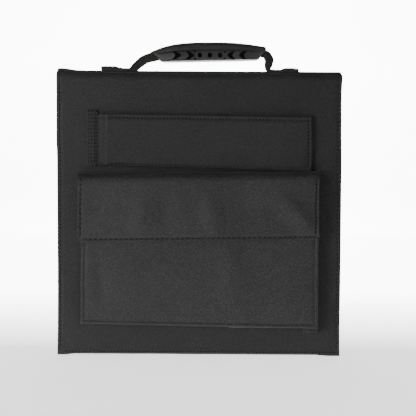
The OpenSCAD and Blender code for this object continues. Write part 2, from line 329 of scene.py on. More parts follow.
@functools.cache
def recess_shade_finish():
    """Painted shade in the hollows of the grip: rubber coloured near-black, far darker than the grip."""
    pits = (0.7, 3)
    return grained_finish("recess_painted_shade", pits,
                          [(0.3, (0.0012, 0.0012, 0.0012)), (0.7, (0.0035, 0.0034, 0.0034))],
                          [(pits, 0.5, 0.15)], Roughness=0.8, Specular_IOR_Level=0.1)


@functools.cache
def hole_shade_finish():
    """Painted shade of a needle hole: a near-black disc, frayed at its rim."""
    fray = (0.4, 2)
    return grained_finish("needle_hole_shade", fray,
                          [(0.3, (0.0006, 0.0006, 0.0006)), (0.7, (0.002, 0.002, 0.002))],
                          [(fray, 0.5, 0.1)], Roughness=0.9, Specular_IOR_Level=0.05)


@functools.cache
def plastic_finish():
    """Spark-textured moulded plastic, rubbed paler in places."""
    spark, rub = (0.35, 3, 0.7), (18, 3)
    return grained_finish("spark_plastic", rub, [(0.3, (0.014, 0.014, 0.015)), (0.75, (0.032, 0.032, 0.034))],
                          [(spark, 0.55, 0.12)], Roughness=0.55)


@functools.cache
def cell_finish():
    """Dark silicon cells: crystal cast, thin fingers and three bus bars on each cell."""
    made, tree, shader, place = new_finish(
        "silicon_cells", Roughness=0.5, Specular_IOR_Level=0.12, Coat_Weight=0.04, Coat_Roughness=0.3)
    cast = ramp(tree, grain(tree, place, 55 * MM, 2),
                [(0.3, (0.008, 0.012, 0.032)), (0.7, (0.014, 0.022, 0.060))])
    fingers = ramp(tree, bands(tree, place, 2.1 * MM, "Z"), [(0.90, (0, 0, 0)), (0.97, (1, 1, 1))])
    bars = ramp(tree, bands(tree, place, CELL_PITCH / BARS_PER_CELL * MM, "X"),
                [(0.9975, (0, 0, 0)), (0.999, (1, 1, 1))])
    silver = (0.32, 0.33, 0.35, 1)
    lined = mixed(tree, sum_of(tree, fingers, 0.08, "MULTIPLY"), cast, silver)
    tree.links.new(mixed(tree, bars, lined, silver), shader.inputs["Base Color"])
    dimple = grain(tree, place, 1.6 * MM, 1)
    bumps(tree, shader, [(dimple, 0.25, 0.15 * MM)])
    return made


@functools.cache
def film_finish():
    """Dimpled film over the dark backing between the cells."""
    dimple, haze = (1.6, 1), (30, 3)
    return grained_finish("dimpled_film", haze, [(0.3, (0.020, 0.021, 0.024)), (0.7, (0.040, 0.042, 0.047))],
                          [(dimple, 0.3, 0.2)], Roughness=0.5, Specular_IOR_Level=0.15, Coat_Weight=0.04)


@functools.cache
def board_finish():
    """Pressed glass-fibre board with a faint cross lay."""
    made, tree, shader, place = new_finish("pressed_board", Roughness=0.7)
    lay = sum_of(tree, bands(tree, place, 2.4 * MM, "X"), bands(tree, place, 2.4 * MM, "Z"))
    mottled = grain(tree, place, 9 * MM, 4)
    tint(tree, shader, mottled, [(0.3, (0.20, 0.18, 0.13)), (0.7, (0.34, 0.31, 0.23))])
    bumps(tree, shader, [(lay, 0.3, 0.1 * MM)])
    return made


@functools.cache
def circuit_finish():
    """Green solder mask with copper runs showing through."""
    made, tree, shader, place = new_finish("solder_mask", Roughness=0.35, Coat_Weight=0.3)
    tint(tree, shader, bands(tree, place, 3.2 * MM, "X"),
         [(0.55, (0.006, 0.055, 0.022)), (0.7, (0.02, 0.12, 0.045))])
    bumps(tree, shader, [(grain(tree, place, 2 * MM, 2), 0.2, 0.1 * MM)])
    return made


@functools.cache
def steel_finish():
    """Zinc-plated screw steel with turned marks."""
    made, tree, shader, place = new_finish("plated_steel", Roughness=0.35, Metallic=1.0)
    stain = grain(tree, place, 2.5 * MM, 4)
    tint(tree, shader, stain, [(0.3, (0.40, 0.40, 0.42)), (0.7, (0.62, 0.62, 0.63))])
    bumps(tree, shader, [(bands(tree, place, 0.4 * MM, "Z"), 0.2, 0.05 * MM)])
    return made


@functools.cache
def lens_finish():
    """Milky green lamp lens."""
    cloud = (1.5, 2)
    return grained_finish("lamp_lens", cloud, [(0.3, (0.30, 0.52, 0.26)), (0.7, (0.48, 0.70, 0.42))],
                          [(cloud, 0.1, 0.1)], Roughness=0.25, Transmission_Weight=0.3)


# ---------------------------------------------------------------- mesh helpers

def wave(*place, size=40.0, seed=0.0):
    """Smooth repeatable noise from -1 to 1 at a place in millimetres."""
    return noise.noise(Vector((*place, 0.0, 0.0)[:3]) / size + Vector((seed, 7.3 * seed, -seed)))


def ease(t):
    """Eases from 0 to 1 while t goes from 0 to 1."""
    t = max(0.0, min(1.0, t))
    return t * t * (3 - 2 * t)


def arc(cy, cz, ry, rz, first, last, steps):
    """Points of an ellipse's arc, angles in degrees from +Y towards +Z."""
    turns = [math.radians(first + (last - first) * i / steps) for i in range(steps + 1)]
    return [(cy + ry * math.cos(a), cz + rz * math.sin(a)) for a in turns]


def face_out(bm):
    """Turns every face outwards."""
    bmesh.ops.recalc_face_normals(bm, faces=bm.faces[:])


def draw_out(bm, faces, way):
    """Extrudes faces along a way and closes the sides."""
    drawn = bmesh.ops.extrude_face_region(bm, geom=faces)["geom"]
    moved = [v for v in drawn if isinstance(v, bmesh.types.BMVert)]
    bmesh.ops.translate(bm, verts=moved, vec=way)


def prism(outline, x1, x2):
    """Closed solid from a Y-Z outline, drawn out along X, in millimetres."""
    bm = bmesh.new()
    face = bm.faces.new([bm.verts.new((x1, y, z)) for y, z in outline])
    draw_out(bm, [face], (x2 - x1, 0, 0))
    face_out(bm)
    return bm


def thicken(bm, thickness):
    """Turns an open cloth surface into a closed one of some thickness."""
    face_out(bm)
    bmesh.ops.solidify(bm, geom=bm.faces[:], thickness=thickness)
    face_out(bm)


def soften(bm, edges, radius, steps):
    """Rounds edges."""
    bmesh.ops.bevel(bm, geom=edges, offset=radius, segments=steps, profile=0.5,
                    affect="EDGES", material=-1, offset_type="OFFSET")


def block(low, high, radius=0.0, steps=3):
    """Closed box between two corners with rounded edges, in millimetres."""
    bm = bmesh.new()
    low, high = Vector(low), Vector(high)
    bmesh.ops.create_cube(bm, size=1)
    bmesh.ops.scale(bm, vec=high - low, verts=bm.verts[:])
    bmesh.ops.translate(bm, vec=(low + high) / 2, verts=bm.verts[:])
    if radius:
        soften(bm, bm.edges[:], radius, steps)
    return bm


def cut_across(bm, axis, places):
    """Cuts the faces along planes square to one axis."""
    normal = Vector((0, 0, 0))
    normal[axis] = 1
    for place in places:
        bmesh.ops.bisect_plane(bm, geom=bm.verts[:] + bm.edges[:] + bm.faces[:],
                               dist=1e-4, plane_co=normal * place, plane_no=normal)


def spaced(first, last, step):
    """Evenly spaced places from first to last, close to step apart."""
    count = max(1, round(abs(last - first) / step))
    return [first + (last - first) * i / count for i in range(count + 1)]


WEBBING_ROUND = 0.03


def loft(lengths, sides, place):
    """Closed tube through rings, one for each length along it; place(ring, turn) gives a point.

    Its UV map runs along and round it, in metres.
    """
    bm = bmesh.new()
    turn = bm.verts.layers.float.new("turn")
    step = bm.verts.layers.int.new("ring")
    start = bmesh.ops.create_circle(bm, segments=sides, radius=1)["verts"]
    for v in start:
        v[turn] = (math.atan2(v.co.y, v.co.x) / math.tau) % 1.0
        v[step] = 0
    edges = list({e for v in start for e in v.link_edges})
    for ring in range(1, len(lengths)):
        made = bmesh.ops.extrude_edge_only(bm, edges=edges)["geom"]
        for v in made:
            if isinstance(v, bmesh.types.BMVert):
                v[step] = ring
        edges = [e for e in made if isinstance(e, bmesh.types.BMEdge)
                 and all(v[step] == ring for v in e.verts)]
    for v in bm.verts:
        v.co = place(v[step], v[turn])
    bmesh.ops.holes_fill(bm, edges=bm.edges[:], sides=0)
    face_out(bm)
    uv = bm.loops.layers.uv.new("UVMap")
    for face in bm.faces:
        turns = [loop.vert[turn] for loop in face.loops]
        wraps = max(turns) - min(turns) > 0.5 and len(turns) == 4
        for loop, t in zip(face.loops, turns):
            round_it = t + 1 if wraps and t < 0.5 else t
            loop[uv].uv = (lengths[loop.vert[step]] * MM, round_it * WEBBING_ROUND)
    return bm


def to_object(name, bm):
    """Turns a bmesh into an object of the scene."""
    mesh = bpy.data.meshes.new(name)
    bm.to_mesh(mesh)
    bm.free()
    obj = bpy.data.objects.new(name, mesh)
    bpy.context.scene.collection.objects.link(obj)
    return obj


def piece(name, bm, body, finish, stands_for=(), sharp=60):
    """Turns a bmesh in millimetres into a finished piece that rides on a body, or on none."""
    bmesh.ops.scale(bm, vec=(MM, MM, MM), verts=bm.verts[:])
    bm.normal_update()
    for face in bm.faces:
        face.smooth = True
    limit = math.radians(sharp)
    for edge in bm.edges:
        edge.smooth = edge.calc_face_angle(0) < limit
    obj = to_object(name, bm)
    obj.data.materials.append(finish)
    if body:
        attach(obj, body)
    if stands_for:
        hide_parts(*stands_for)
    return obj


def dress(node, finish):
    """Gives a carried-over node its finish."""
    obj = frame["nodes"][node]
    for slot in obj.material_slots:
        slot.link = "OBJECT"
        slot.material = finish


# ---------------------------------------------------------------- stitches

THREAD_HALF_W, THREAD_HALF_T, THREAD_LIFT = 0.33, 0.26, 0.05
# size of the flat near-black discs between stitches, painted shade of the needle holes
HOLE_R, HOLE_HALF_T = 0.68, 0.12


def sew(bm, a, b, out):
    """A row of stitches from a to b in millimetres, lying on a surface that faces out."""
    a, b, out = Vector(a), Vector(b), Vector(out)
    along = (b - a).normalized()
    turned = Matrix((along, along.cross(out), out)).transposed().to_4x4()
    stitch = turned @ Matrix.Diagonal((settings().stitch_length / MM / 2, THREAD_HALF_W, THREAD_HALF_T, 1))
    hole = turned @ Matrix.Diagonal((HOLE_R, HOLE_R, HOLE_HALF_T, 1))
    count = max(1, int((b - a).length / (settings().stitch_pitch / MM)))
    for i in range(count):
        # after each stitch comes a near-black disc, painted shade of its needle hole
        for where, shape in ((i + 0.5, stitch), (i + 1, hole)):
            middle = a.lerp(b, where / count) + out * THREAD_LIFT
            made = bmesh.ops.create_icosphere(bm, subdivisions=1, radius=1,
                                              matrix=Matrix.Translation(middle) @ shape)["verts"]
            for face in {f for v in made for f in v.link_faces}:
                face.material_index = int(shape is hole)


def stitching(name, rows, body, out=(0, -1, 0)):
    """One piece holding several rows of stitches, with near-black discs of painted shade at their needle
    holes.
    """
    bm = bmesh.new()
    for a, b in rows:
        sew(bm, a, b, out)
    row = piece(name, bm, body, thread_finish(), sharp=180)
    row.data.materials.append(hole_shade_finish())
    return row


# ---------------------------------------------------------------- stage

CAMERA_LENS = 100.0
CAMERA_DISTANCE = 1.144
CAMERA_X = 9.2 * MM
CAMERA_Z = 146.5 * MM
CAMERA_ROLL = math.radians(-0.35)
# glow of the sweep, painted light: behind the case, on the floor under it, and all over
BACKDROP_GLOW = 8.0
FLOOR_GLOW = 1.4
PAPER_GLOW = 0.12
WALL, WALL_TOP, BEND = 7.4, 4.5, 1.2
# each soft light: its place, what it points at, its size, all in metres, and its power in watts
LIGHTS = {"key": ((-0.75, -0.95, 0.16), (0, 0, 0.06), (0.5, 0.24), 11.5),
          "fill": ((0.9, -1.7, 0.5), (0, 0, 0.14), (1.2, 1.2), 2),
          "top": ((0.0, 0.6, 1.9), (0, 0, 0.1), (1.6, 1.6), 2)}
WORLD_GLOW = 0.05


def soft_light(name, place, target, size, power):
    """One rectangular lamp."""
    data = bpy.data.lights.new(name, "AREA")
    data.shape = "RECTANGLE"
    data.size, data.size_y = size
    data.energy = power
    lamp = bpy.data.objects.new(name, data)
    lamp.location = place
    lamp.rotation_euler = (Vector(target) - Vector(place)).to_track_quat("-Z", "Y").to_euler()
    bpy.context.scene.collection.objects.link(lamp)


def sweep_surface():
    """Floor that turns up into a wall all round, spun from one curve."""
    bm = bmesh.new()
    outline = [(0.0, 0.0), (1.5, 0.0), (3.5, 0.0)] + arc(WALL - BEND, BEND, BEND, BEND, -90, 0, 12)
    outline.append((WALL, WALL_TOP))
    corners = [bm.verts.new((0, y, z)) for y, z in outline]
    edges = [bm.edges.new(pair) for pair in zip(corners, corners[1:])]
    bmesh.ops.spin(bm, geom=corners + edges, cent=(0, 0, 0), axis=(0, 0, 1), angle=math.tau,
                   steps=72, use_merge=True)
    bmesh.ops.remove_doubles(bm, verts=bm.verts[:], dist=1e-5)
    face_out(bm)
    bmesh.ops.reverse_faces(bm, faces=bm.faces[:])
    for face in bm.faces:
        face.smooth = True
    return to_object("sweep", bm)


def paper_finish():
    """Pale paper that glows behind and under the case as painted light, which also lights the case, and is
    plain elsewhere.
    """
    paper, tree, shader, place = new_finish("pale_paper", Roughness=0.9)
    tint(tree, shader, grain(tree, place, 0.5, 2), [(0.3, (0.86, 0.86, 0.86)), (0.7, (0.88, 0.88, 0.88))])
    parts = new_node(tree, "ShaderNodeSeparateXYZ", {0: place})
    depth = parts.outputs["Y"]
    reach = sum_of(tree, depth, CAMERA_DISTANCE)
    offset = sum_of(tree, parts.outputs["X"], 0.0, "ABSOLUTE")
    beside = graded(tree, sum_of(tree, offset, reach, "DIVIDE"), 0.21, 0.45, 1, 0)
    above = graded(tree, sum_of(tree, parts.outputs["Z"], reach, "DIVIDE"), 0.22, 0.40, 1, 0)
    far = graded(tree, depth, 0.05, 0.9, 0, BACKDROP_GLOW)
    far = sum_of(tree, sum_of(tree, far, beside, "MULTIPLY"), above, "MULTIPLY")
    near = graded(tree, depth, -0.46, -0.32, 0, FLOOR_GLOW)
    near = sum_of(tree, near, graded(tree, offset, 0.5, 1.2, 1, 0), "MULTIPLY")
    glow = sum_of(tree, sum_of(tree, near, far), PAPER_GLOW)
    tree.links.new(glow, shader.inputs["Emission Strength"])
    shader.inputs["Emission Color"].default_value = (1, 1, 1, 1)
    return paper


class SOLARCASE_OT_stage(bpy.types.Operator):
    """Camera, pale sweep and soft studio lights"""

    bl_idname = "solarcase.stage"
    bl_label = "Stage"

    def execute(self, context):
        camera = bpy.data.cameras.new("camera")
        camera.lens = CAMERA_LENS
        camera.clip_start = 0.05
        stand = bpy.data.objects.new("camera", camera)
        stand.location = (CAMERA_X, FRONT_Y * MM - CAMERA_DISTANCE, CAMERA_Z)
        stand.rotation_euler = (math.radians(90), CAMERA_ROLL, 0)
        context.scene.collection.objects.link(stand)
        context.scene.camera = stand

        sweep = sweep_surface()
        sweep.data.materials.append(paper_finish())
        for name, values in LIGHTS.items():
            soft_light(name, *values)
        world = bpy.data.worlds.new("studio")
        world.use_nodes = True
        background = world.node_tree.nodes["Background"]
        background.inputs["Color"].default_value = (1, 1, 1, 1)
        background.inputs["Strength"].default_value = WORLD_GLOW
        context.scene.world = world
        return {"FINISHED"}


# ---------------------------------------------------------------- leaves

CORNER_R = 2.2
LIP_T = 0.8
LIP_START = 272.0
BOARD_TOP = 274.0
WINDOW_HALF = 128.5
WINDOW_LOW, WINDOW_HIGH = 12.5, 269.5
CELL_RECESS = 1.3
HEM_SEAM = 3.2
HEM_REACH = 12.0
# how far the left and right hems stand out from the board's plain outline, at heights up the leaf
SIDE_OUT = ((0, -0.7, 0.4), (30, -0.9, 0.2), (65, -0.7, 0.8), (80, -0.6, 0.9), (195, 0.8, 1.5),
            (215, 1.6, 1.2), (258, 1.9, 1.0), (275, 2.1, 1.9), (279, 1.6, 1.7), (282, 0.6, 0.2))


def side_out(z, left):
    """Reads the hem table at one height."""
    column = 1 if left else 2
    if z <= SIDE_OUT[0][0]:
        return SIDE_OUT[0][column]
    for a, b in zip(SIDE_OUT, SIDE_OUT[1:]):
        if z <= b[0]:
            return a[column] + (b[column] - a[column]) * (z - a[0]) / (b[0] - a[0])
    return SIDE_OUT[-1][column]


def hem_shift(x, z, foot):
    """How far a point of a leaf is drawn up: the lower hem between its corners, the fold at its left end."""
    rise = settings().hem_rise / MM
    stiff = 0.87 * (1 - ease((x + 134) / 22)) + 0.83 * ease((x - 108) / 20)
    shift = rise * (1 - stiff) * (1 - ease((z - foot) / 14))
    above = ease((z - CASE_H + 12) / 12)
    ear = settings().corner_ear / MM * ease((-x - 112) / 26) ** 1.6
    return shift + above * (ear - 1.0 * math.exp(-((x - 5) / 55) ** 2) - 0.3 * ease((x - 90) / 20))


def leaf_outline(low, top, lip):
    """Section of a cloth-covered leaf: outer face at -Y, cells at +Y, an optional lip over the fold."""
    half = LEAF_T / 2
    centre = half - CORNER_R
    points = arc(-centre, low + CORNER_R, CORNER_R, CORNER_R, 270, 180, 5)
    if lip:
        over_y = STRIP_Y - TOP_FOLD.y
        rise = CASE_H + 0.6 - LIP_START
        reach = half + over_y
        points += arc(over_y, LIP_START, reach, rise, 180, 90, 14)
        inner = math.degrees(math.asin((BOARD_TOP - LIP_START) / (rise - LIP_T)))
        points += arc(over_y, LIP_START, reach - LIP_T, rise - LIP_T, 90, 180 - inner, 12)
        top = BOARD_TOP
    else:
        points += arc(-centre, top - CORNER_R, CORNER_R, CORNER_R, 180, 90, 5)
    points += arc(centre, top - CORNER_R, CORNER_R, CORNER_R, 90, 0, 5)
    points += arc(centre, low + CORNER_R, CORNER_R, CORNER_R, 0, -90, 5)
    return points


def cell_window(bm, cell_face):
    """Sinks the part of a cover that shows the cells."""
    side = math.copysign(1, cell_face)
    window = [f for f in bm.faces if abs(f.normal.y) > 0.99
              and abs(f.calc_center_median().y - cell_face) < 0.01
              and abs(f.calc_center_median().x) < WINDOW_HALF
              and WINDOW_LOW < f.calc_center_median().z < WINDOW_HIGH]
    draw_out(bm, window, (0, -side * CELL_RECESS, 0))
    bmesh.ops.delete(bm, geom=window, context="FACES")


def leaf_cover(name):
    """Cloth cover of one leaf: rounded hems, corner ears, slow waves and the cell window."""
    body, turned, lip, wavy = LEAVES[name]
    low, high = node_mm(f"{name}_leaf_sleeve")
    middle = (low.y + high.y) / 2
    outline = leaf_outline(low.z, high.z, lip)
    side = -1 if turned else 1
    bm = prism([(y * side, z) for y, z in outline], -HALF_W, HALF_W)
    hem = [HALF_W - d for d in (0.25, 0.8, 1.8, 2.6, HEM_SEAM, 3.8)]
    cut_across(bm, 0, spaced(-132, 132, 11) + [s * x for x in hem + [WINDOW_HALF] for s in (1, -1)])
    cut_across(bm, 2, spaced(low.z + 4, 270, 11) + [WINDOW_LOW, WINDOW_HIGH])
    cell_window(bm, side * LEAF_T / 2)

    rise = settings().cloth_wave / MM
    for v in bm.verts:
        from_side = HALF_W - abs(v.co.x)
        if v.co.z < BOARD_TOP + 1 or not lip:
            round_off = math.sqrt(max(0.0, 1 - (1 - min(from_side, CORNER_R) / CORNER_R) ** 2))
            v.co.y *= 0.35 + 0.65 * round_off
        outer = v.co.y * side < -LEAF_T * 0.3
        if outer:
            v.co.y += side * 0.3 * math.exp(-((from_side - HEM_SEAM) / 0.5) ** 2)
            edge = ease(from_side / 8) * ease((v.co.z - low.z) / 8) * ease((CASE_H - v.co.z) / 8)
            slow = wave(v.co.x, v.co.z, size=46, seed=len(name))
            quick = 0.5 * wave(v.co.x, v.co.z, size=19, seed=3)
            v.co.y -= side * wavy * rise * edge * (slow + quick)
        out = side_out(v.co.z, v.co.x < 0)
        if name == "front":
            v.co.z += hem_shift(v.co.x, v.co.z, low.z)
        else:
            out = min(0, out)
        v.co.x += math.copysign(1, v.co.x) * out * ease(1 - from_side / HEM_REACH)
        v.co.y += middle
    cover = piece(f"{name}_cover", bm, None if lip else body, cloth_finish(),
                  [f"{name}_leaf_sleeve"], sharp=50)
    if lip:
        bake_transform(cover)


class SOLARCASE_OT_leaves(bpy.types.Operator):
    """Cloth covers of the four leaves, and the finish of what they hold"""

    bl_idname = "solarcase.leaves"
    bl_label = "Leaves"

    def execute(self, context):
        for name in LEAVES:
            leaf_cover(name)
            dress(f"{name}_leaf_board", board_finish())
            dress(f"{name}_leaf_laminate", film_finish())
            dress(f"{name}_leaf_cells", cell_finish())
        return {"FINISHED"}


# ---------------------------------------------------------------- folds

FOLD_T = 0.75
FOLD_OVER = 0.9


def strap_section(half_w, low, high):
    """Flat ribbon section with round edges, as a Y-Z outline about STRIP_Y."""
    r = (high - low) / 2
    left = arc(STRIP_Y - half_w + r, low + r, r, r, 90, 270, 6)
    right = arc(STRIP_Y + half_w - r, low + r, r, r, -90, 90, 6)
    return left + right


def fold_cloth(name, hinge, foot, crown, up, stands_for):
    """Cloth bent round a fold line between two leaves, open towards the leaves."""
    middle, half = hinge.y, LEAF_T + FOLD_OVER
    low_y, high_y = middle - half, middle + half
    sign = 1 if up else -1
    bend = arc(middle, foot + sign * 2, half, abs(crown - foot) - 2, 180, 0 if up else 360, 16)
    outer = [(low_y, foot), *bend, (high_y, foot)]
    inner = []
    for y, z in reversed(outer):
        pull = 1 - FOLD_T / half
        inner.append((middle + (y - middle) * pull, z - sign * FOLD_T if abs(z - foot) > 1 else z))
    bm = prism(outer + inner, -HALF_W + 1.5, HALF_W - 1.5)
    cut_across(bm, 0, spaced(-130, 130, 13))
    for v in bm.verts:
        v.co.z += 0.15 * wave(v.co.x, v.co.z, size=23, seed=5) * ease(abs(v.co.z - foot) / 4)
    cloth = piece(name, bm, None, cloth_finish(), stands_for)
    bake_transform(cloth)


class SOLARCASE_OT_folds(bpy.types.Operator):
    """Cloth of the folds between the leaves"""

    bl_idname = "solarcase.folds"
    bl_label = "Folds"

    def execute(self, context):
        low, high = node_mm("top_fold_strip")
        bm = prism(strap_section(3.6, low.z + 0.1, CASE_H + 0.5), low.x - 1, high.x + 1)
        cut_across(bm, 0, spaced(low.x + 5, high.x - 5, 9))
        for v in bm.verts:
            v.co.z += hem_shift(v.co.x, CASE_H, 0)
        piece("top_fold_tape", bm, "top_fold", cloth_finish(), ["top_fold_strip"])
        fold_cloth("lower_fold_cloth", LOWER_FOLD,
                   12.0, 0.2, False, ["lower_fold_piping"])
        fold_cloth("rear_fold_cloth", REAR_FOLD,
                   269.0, CASE_H, True, ["rear_fold_piping"])
        return {"FINISHED"}


# ---------------------------------------------------------------- pocket and lid

POCKET_LEFT, POCKET_RIGHT = -118.4, 117.4
POCKET_LOW_LEFT, POCKET_LOW_RIGHT = 32.6, 29.1
BAG_INSET = 3.6
BAG_SEAM = 3.8
POCKET_ROOF_LEFT, POCKET_ROOF_RIGHT = 179.4, 182.4
ROOF_Z = POCKET_ROOF_LEFT + 1.4
LID_LOW_LEFT, LID_LOW_RIGHT = 112.2, 116.2
LID_SEAM_LEFT, LID_SEAM_RIGHT = POCKET_LEFT + 3.4, POCKET_RIGHT - 3.0
LID_SEAM_UP = 2.8
LID_BEND = 10.0
MOUTH_Z = 150.0
CLOTH_T = 1.3


def across(x, left, right):
    """Value at x on a straight line from the pocket's left edge to its right edge."""
    return left + (right - left) * (x - POCKET_LEFT) / (POCKET_RIGHT - POCKET_LEFT)


# soft creases: middle x and z, how far they reach along and across, their lean in degrees, their height
BAG_CREASES = ((-40, 84, 36, 9, 36, 2.3), (-64, 58, 30, 11, 30, -1.2), (32, 80, 40, 12, 100, 1.7),
               (-96, 78, 34, 7, 95, -1.0), (72, 96, 26, 10, 60, -0.8), (84, 52, 34, 12, 25, 0.8))
LID_CREASES = ((-54, 142, 30, 11, 72, 2.2), (-32, 150, 26, 9, 90, -1.1), (14, 145, 30, 10, 96, 2.2),
               (50, 147, 28, 14, -62, -1.2), (99, 141, 26, 8, -48, 2.1), (78, 138, 24, 7, -48, -0.9),
               (-98, 158, 22, 9, 80, -0.8))


def creases(x, z, table):
    """Sum of the soft creases of a table at one place."""
    total = 0.0
    for cx, cz, reach, width, lean, height in table:
        c, s = math.cos(math.radians(lean)), math.sin(math.radians(lean))
        along = (x - cx) * c + (z - cz) * s
        off = (z - cz) * c - (x - cx) * s
        total += height * math.exp(-(along / reach) ** 2 - (off / width) ** 2)
    return total


def pocket_cloth():
    """The cloth of the pocket, a little paler than the covers."""
    return cloth_finish("pocket_cloth", 1.45)


def pocket_bag():
    """Sewn bag: swelling face, gusset sides, a hemmed mouth, hollow inside."""
    low, high = node_mm("pocket_body")
    bag_left = POCKET_LEFT + BAG_INSET
    bm = block((bag_left, low.y + 0.2, low.z + 1), (POCKET_RIGHT, FRONT_Y + 3, high.z - 1))
    gone = [f for f in bm.faces if f.normal.y > 0.9 or f.normal.z > 0.9]
    bmesh.ops.delete(bm, geom=gone, context="FACES")
    front = low.y + 0.2
    corners = [e for e in bm.edges if all(abs(v.co.y - front) < 0.01 for v in e.verts)
               and not all(v.co.z > high.z - 2 for v in e.verts)]
    soften(bm, corners, 2.0, 4)
    rim = [BAG_SEAM + d for d in (-1.4, -0.7, 0, 0.7, 1.4)]
    cut_across(bm, 0, spaced(bag_left + 8, POCKET_RIGHT - 8, 4) + [bag_left + d for d in rim]
               + [POCKET_RIGHT - d for d in rim])
    cut_across(bm, 2, spaced(low.z + 9, high.z - 2, 4) + [MOUTH_Z] + [low.z + 1 + d for d in rim])
    cut_across(bm, 1, [front + 7.5, front + 10.5, FRONT_Y])
    behind = [f for f in bm.faces if f.calc_center_median().y > FRONT_Y]
    mouth = [f for f in bm.faces if f.normal.y < -0.95 and f.calc_center_median().z > MOUTH_Z]
    bmesh.ops.delete(bm, geom=behind + mouth, context="FACES")
    bulge = settings().pocket_bulge / MM
    for v in bm.verts:
        x, y, z = v.co
        u = (x - POCKET_LEFT) / (POCKET_RIGHT - POCKET_LEFT)
        t = (z - low.z) / (MOUTH_Z - low.z)
        depth = ease((FRONT_Y - y) / 13)
        v.co.z += (across(x, POCKET_LOW_LEFT, POCKET_LOW_RIGHT) - low.z - 1) * (1 - ease((z - 40) / 60))
        swell = (math.sin(math.pi * max(0, min(1, u))) ** 0.55
                 * math.sin(math.pi * max(0.0, min(1, t * 1.35))) ** 0.8 if 0 < t < 0.74 else 0)
        ripple = creases(x, z, BAG_CREASES) + 0.25 * wave(x, z, size=14, seed=4)
        edge = min(x - bag_left, POCKET_RIGHT - x, z - low.z - 1)
        v.co.y += depth * 0.8 * math.exp(-((edge - BAG_SEAM) / 0.9) ** 2)
        v.co.y -= depth * (bulge * swell + ripple * ease(u * 9) * ease((1 - u) * 9) * ease(t * 6))
        fold_in = math.exp(-((y - (FRONT_Y - 7)) / 3) ** 2)
        side = -1 if u < 0.5 else 1
        if min(abs(x - bag_left), abs(x - POCKET_RIGHT)) < 0.6:
            v.co.x -= side * 2.2 * fold_in
    bmesh.ops.solidify(bm, geom=bm.faces[:], thickness=CLOTH_T)
    face_out(bm)
    piece("pocket_bag", bm, "root", pocket_cloth(), ["pocket_body"])


def lid_path():
    """Middle line of the lid in Y-Z: over the roof, round the front edge and down."""
    front = hinge_mm("lid_turn").y - 0.75
    points = [(FRONT_Y + 0.3, ROOF_Z - 0.8), (FRONT_Y - 5, ROOF_Z), (front + LID_BEND, ROOF_Z)]
    points += arc(front + LID_BEND, ROOF_Z - LID_BEND, LID_BEND, LID_BEND, 90, 180, 8)[1:]
    points += [(front, z) for z in spaced(ROOF_Z - LID_BEND - 3, LID_LOW_LEFT + 5, 3.2)]
    points += [(front, LID_LOW_LEFT + d) for d in (4, 3.2, 2.6, 2.0, 1.2, 0.5, 0)]
    return points


def lid_hang(z):
    """0 on the roof of the lid, 1 at its lower hem."""
    return max(0.0, (ROOF_Z - z) / (ROOF_Z - LID_LOW_LEFT))


def lid_fold(x, z):
    """How far the hanging lid stands out from its middle plane at one place, its sewn hem drawn in."""
    u = across(x, 0, 1)
    side = min(x - LID_SEAM_LEFT, LID_SEAM_RIGHT - x)
    seam = math.exp(-((z - across(x, LID_LOW_LEFT, LID_LOW_RIGHT) - LID_SEAM_UP) / 0.8) ** 2)
    seam = max(seam, math.exp(-(side / 0.8) ** 2))
    fold = creases(x, z, LID_CREASES) + 0.2 * wave(x, z, size=12, seed=6)
    return ease(lid_hang(z) * 1.6) * (fold - 0.5 * math.cos(math.pi * u) ** 2 - 0.65 * seam)


def lid_cloth():
    """Lid: one doubled cloth over the roof and down the front, creased by handling."""
    path = lid_path()
    sides = [x + d for x in (LID_SEAM_LEFT, LID_SEAM_RIGHT) for d in (-1.4, -0.7, 0, 0.7, 1.4)]
    bm = bmesh.new()
    bmesh.ops.create_grid(bm, x_segments=90, y_segments=len(path) - 1, size=1)
    cut_across(bm, 0, [across(x, -1, 1) for x in sides])
    rows = sorted({round(v.co.y, 5) for v in bm.verts}, reverse=True)
    for v in bm.verts:
        i = rows.index(round(v.co.y, 5))
        y, z = path[i]
        x = POCKET_LEFT + (POCKET_RIGHT - POCKET_LEFT) * (v.co.x + 1) / 2
        hang = lid_hang(z)
        top_shift = across(x, 0, POCKET_ROOF_RIGHT - POCKET_ROOF_LEFT)
        low_shift = across(x, 0, LID_LOW_RIGHT - LID_LOW_LEFT)
        z += top_shift * (1 - hang) + low_shift * hang
        free = ease(hang * 1.6)
        y -= lid_fold(x, z)
        z -= (1 - free) * 0.5 * (1 + wave(x, size=28, seed=8)) * ease((FRONT_Y - y) / 6)
        v.co = (x, y, z)
    thicken(bm, CLOTH_T)
    length = sum(math.dist(a, b) for a, b in zip(path, path[1:])) * MM
    lid = piece("lid_cloth", bm, None, pocket_cloth(), ["lid_top_strip", "lid_flap"])
    hinge = hinge_mm("lid_turn")
    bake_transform(lid)


class SOLARCASE_OT_pocket(bpy.types.Operator):
    """Pocket bag, its lid, and the hook-and-loop strips that shut it"""

    bl_idname = "solarcase.pocket"
    bl_label = "Pocket"

    def execute(self, context):
        pocket_bag()
        lid_cloth()
        for node in ("pocket_loop_strip", "lid_hook_strip"):
            dress(node, pile_finish())
        tab = block((103, FRONT_Y - 9, 24.6), (117, FRONT_Y - 0.4, 29.5), 1.0)
        cut_across(tab, 0, spaced(105, 115, 3))
        for v in tab.verts:
            v.co.z += 0.5 * wave(v.co.x, v.co.y, size=6, seed=2)
        piece("gusset_tuck", tab, "root", cloth_finish(), sharp=40)
        return {"FINISHED"}


# ---------------------------------------------------------------- prop

